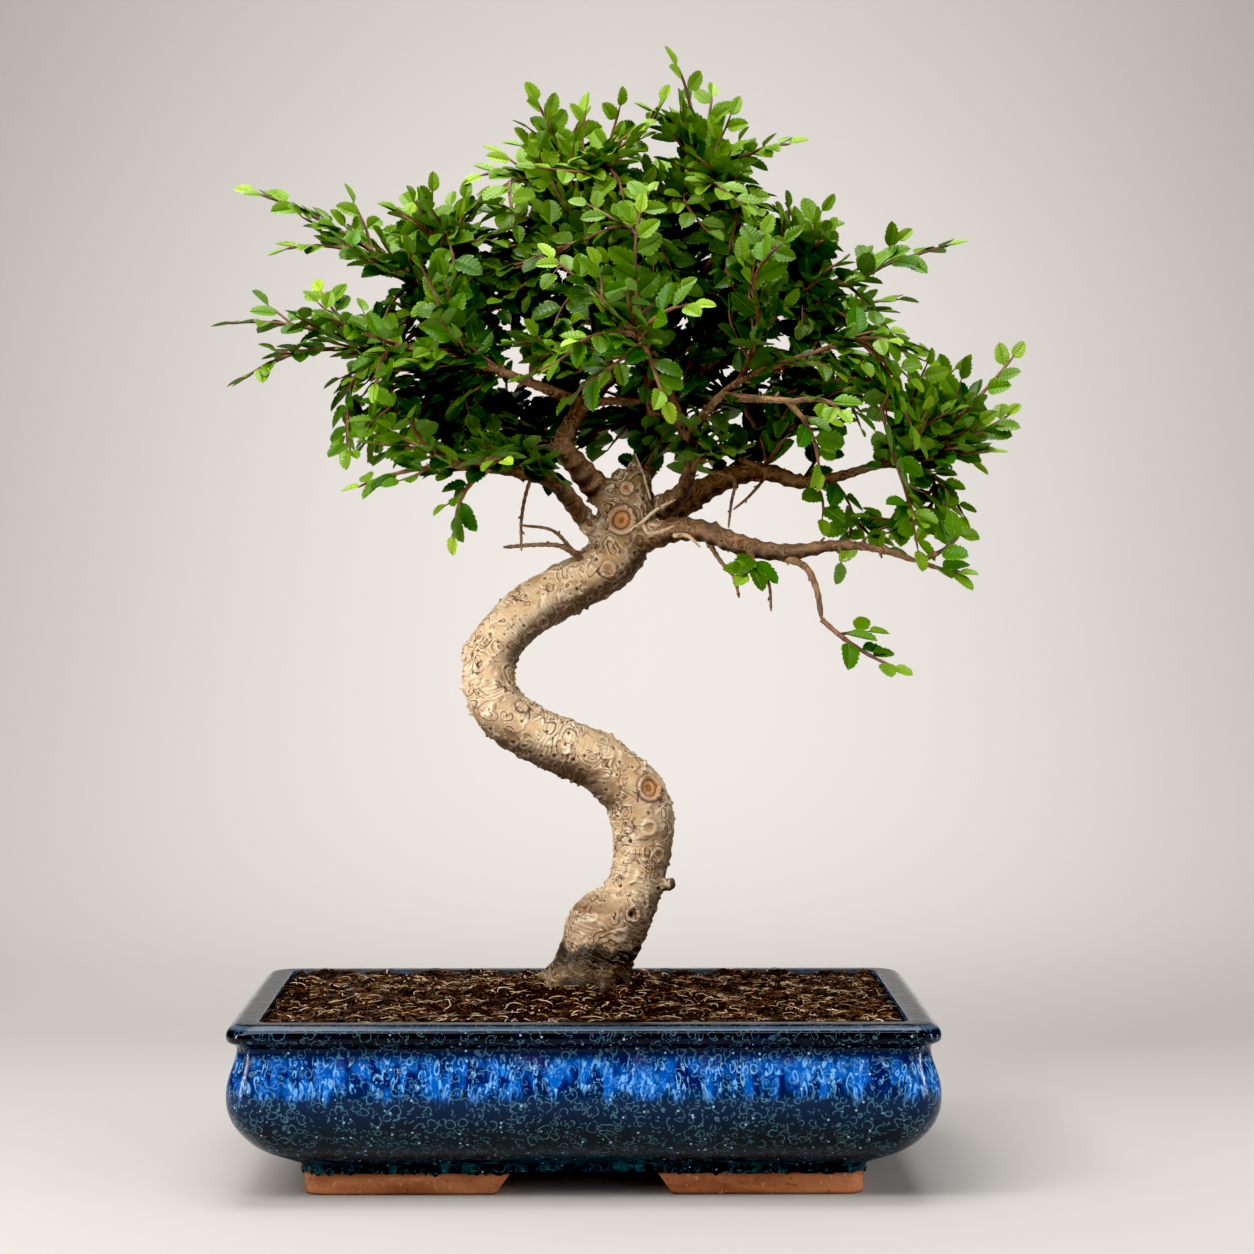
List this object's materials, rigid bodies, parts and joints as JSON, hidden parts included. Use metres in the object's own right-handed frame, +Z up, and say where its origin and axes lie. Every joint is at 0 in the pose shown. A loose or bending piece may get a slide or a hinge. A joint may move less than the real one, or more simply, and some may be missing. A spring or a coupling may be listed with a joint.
{
  "type": "chinese elm bonsai",
  "caption": "Small-leaved elm bonsai with an S-curved trunk and a broad airy crown, in soil in a blue-glazed rectangular pot on corner feet.",
  "frame": {"origin": "on the floor, under the middle of the whole object's box", "axes": "+Z up along the tree's height, +X along the pot's long side to the tree's right seen from the front, front towards -Y"},
  "size_m": [0.3186, 0.2118, 0.4374],
  "materials": {
    "glaze": "glossy dark blue glaze, mottled with bright blue streaks",
    "clay": "unglazed fired red-brown clay",
    "screen": "matte black plastic mesh",
    "soil": "dark moist crumbly soil with tan fibres",
    "bark": "pale tan bark with pits, ridges and knots",
    "twig": "thin brown twig bark",
    "leaf": "glossy green leaf blade"
  },
  "bodies": {
    "root": {"pot": "glaze", "screen_left": "screen", "screen_right": "screen", "soil": "soil", "trunk": "bark", "spray_01": "leaf", "spray_02": "leaf", "spray_03": "leaf", "spray_04": "leaf", "spray_05": "leaf", "spray_06": "leaf", "spray_07": "leaf", "spray_08": "leaf", "spray_09": "leaf", "spray_10": "leaf", "spray_11": "leaf", "spray_12": "leaf", "spray_13": "leaf", "spray_14": "leaf", "spray_15": "leaf", "spray_16": "leaf", "spray_17": "leaf", "spray_18": "leaf", "spray_19": "leaf", "spray_20": "leaf", "spray_21": "leaf", "spray_22": "leaf", "spray_23": "leaf", "spray_24": "leaf", "spray_25": "leaf", "spray_26": "leaf", "spray_27": "leaf", "spray_28": "leaf", "spray_29": "leaf", "spray_30": "leaf", "spray_31": "leaf", "spray_32": "leaf", "spray_33": "leaf", "spray_34": "leaf", "spray_35": "leaf", "spray_36": "leaf", "spray_37": "leaf", "spray_38": "leaf", "spray_39": "leaf", "spray_40": "leaf", "spray_41": "leaf", "spray_42": "leaf", "spray_43": "leaf", "spray_44": "leaf", "spray_45": "leaf", "spray_46": "leaf", "spray_47": "leaf", "spray_48": "leaf", "spray_49": "leaf", "spray_50": "leaf", "spray_51": "leaf", "spray_52": "leaf", "spray_53": "leaf", "spray_54": "leaf", "spray_55": "leaf"}
  },
  "joints": []
}
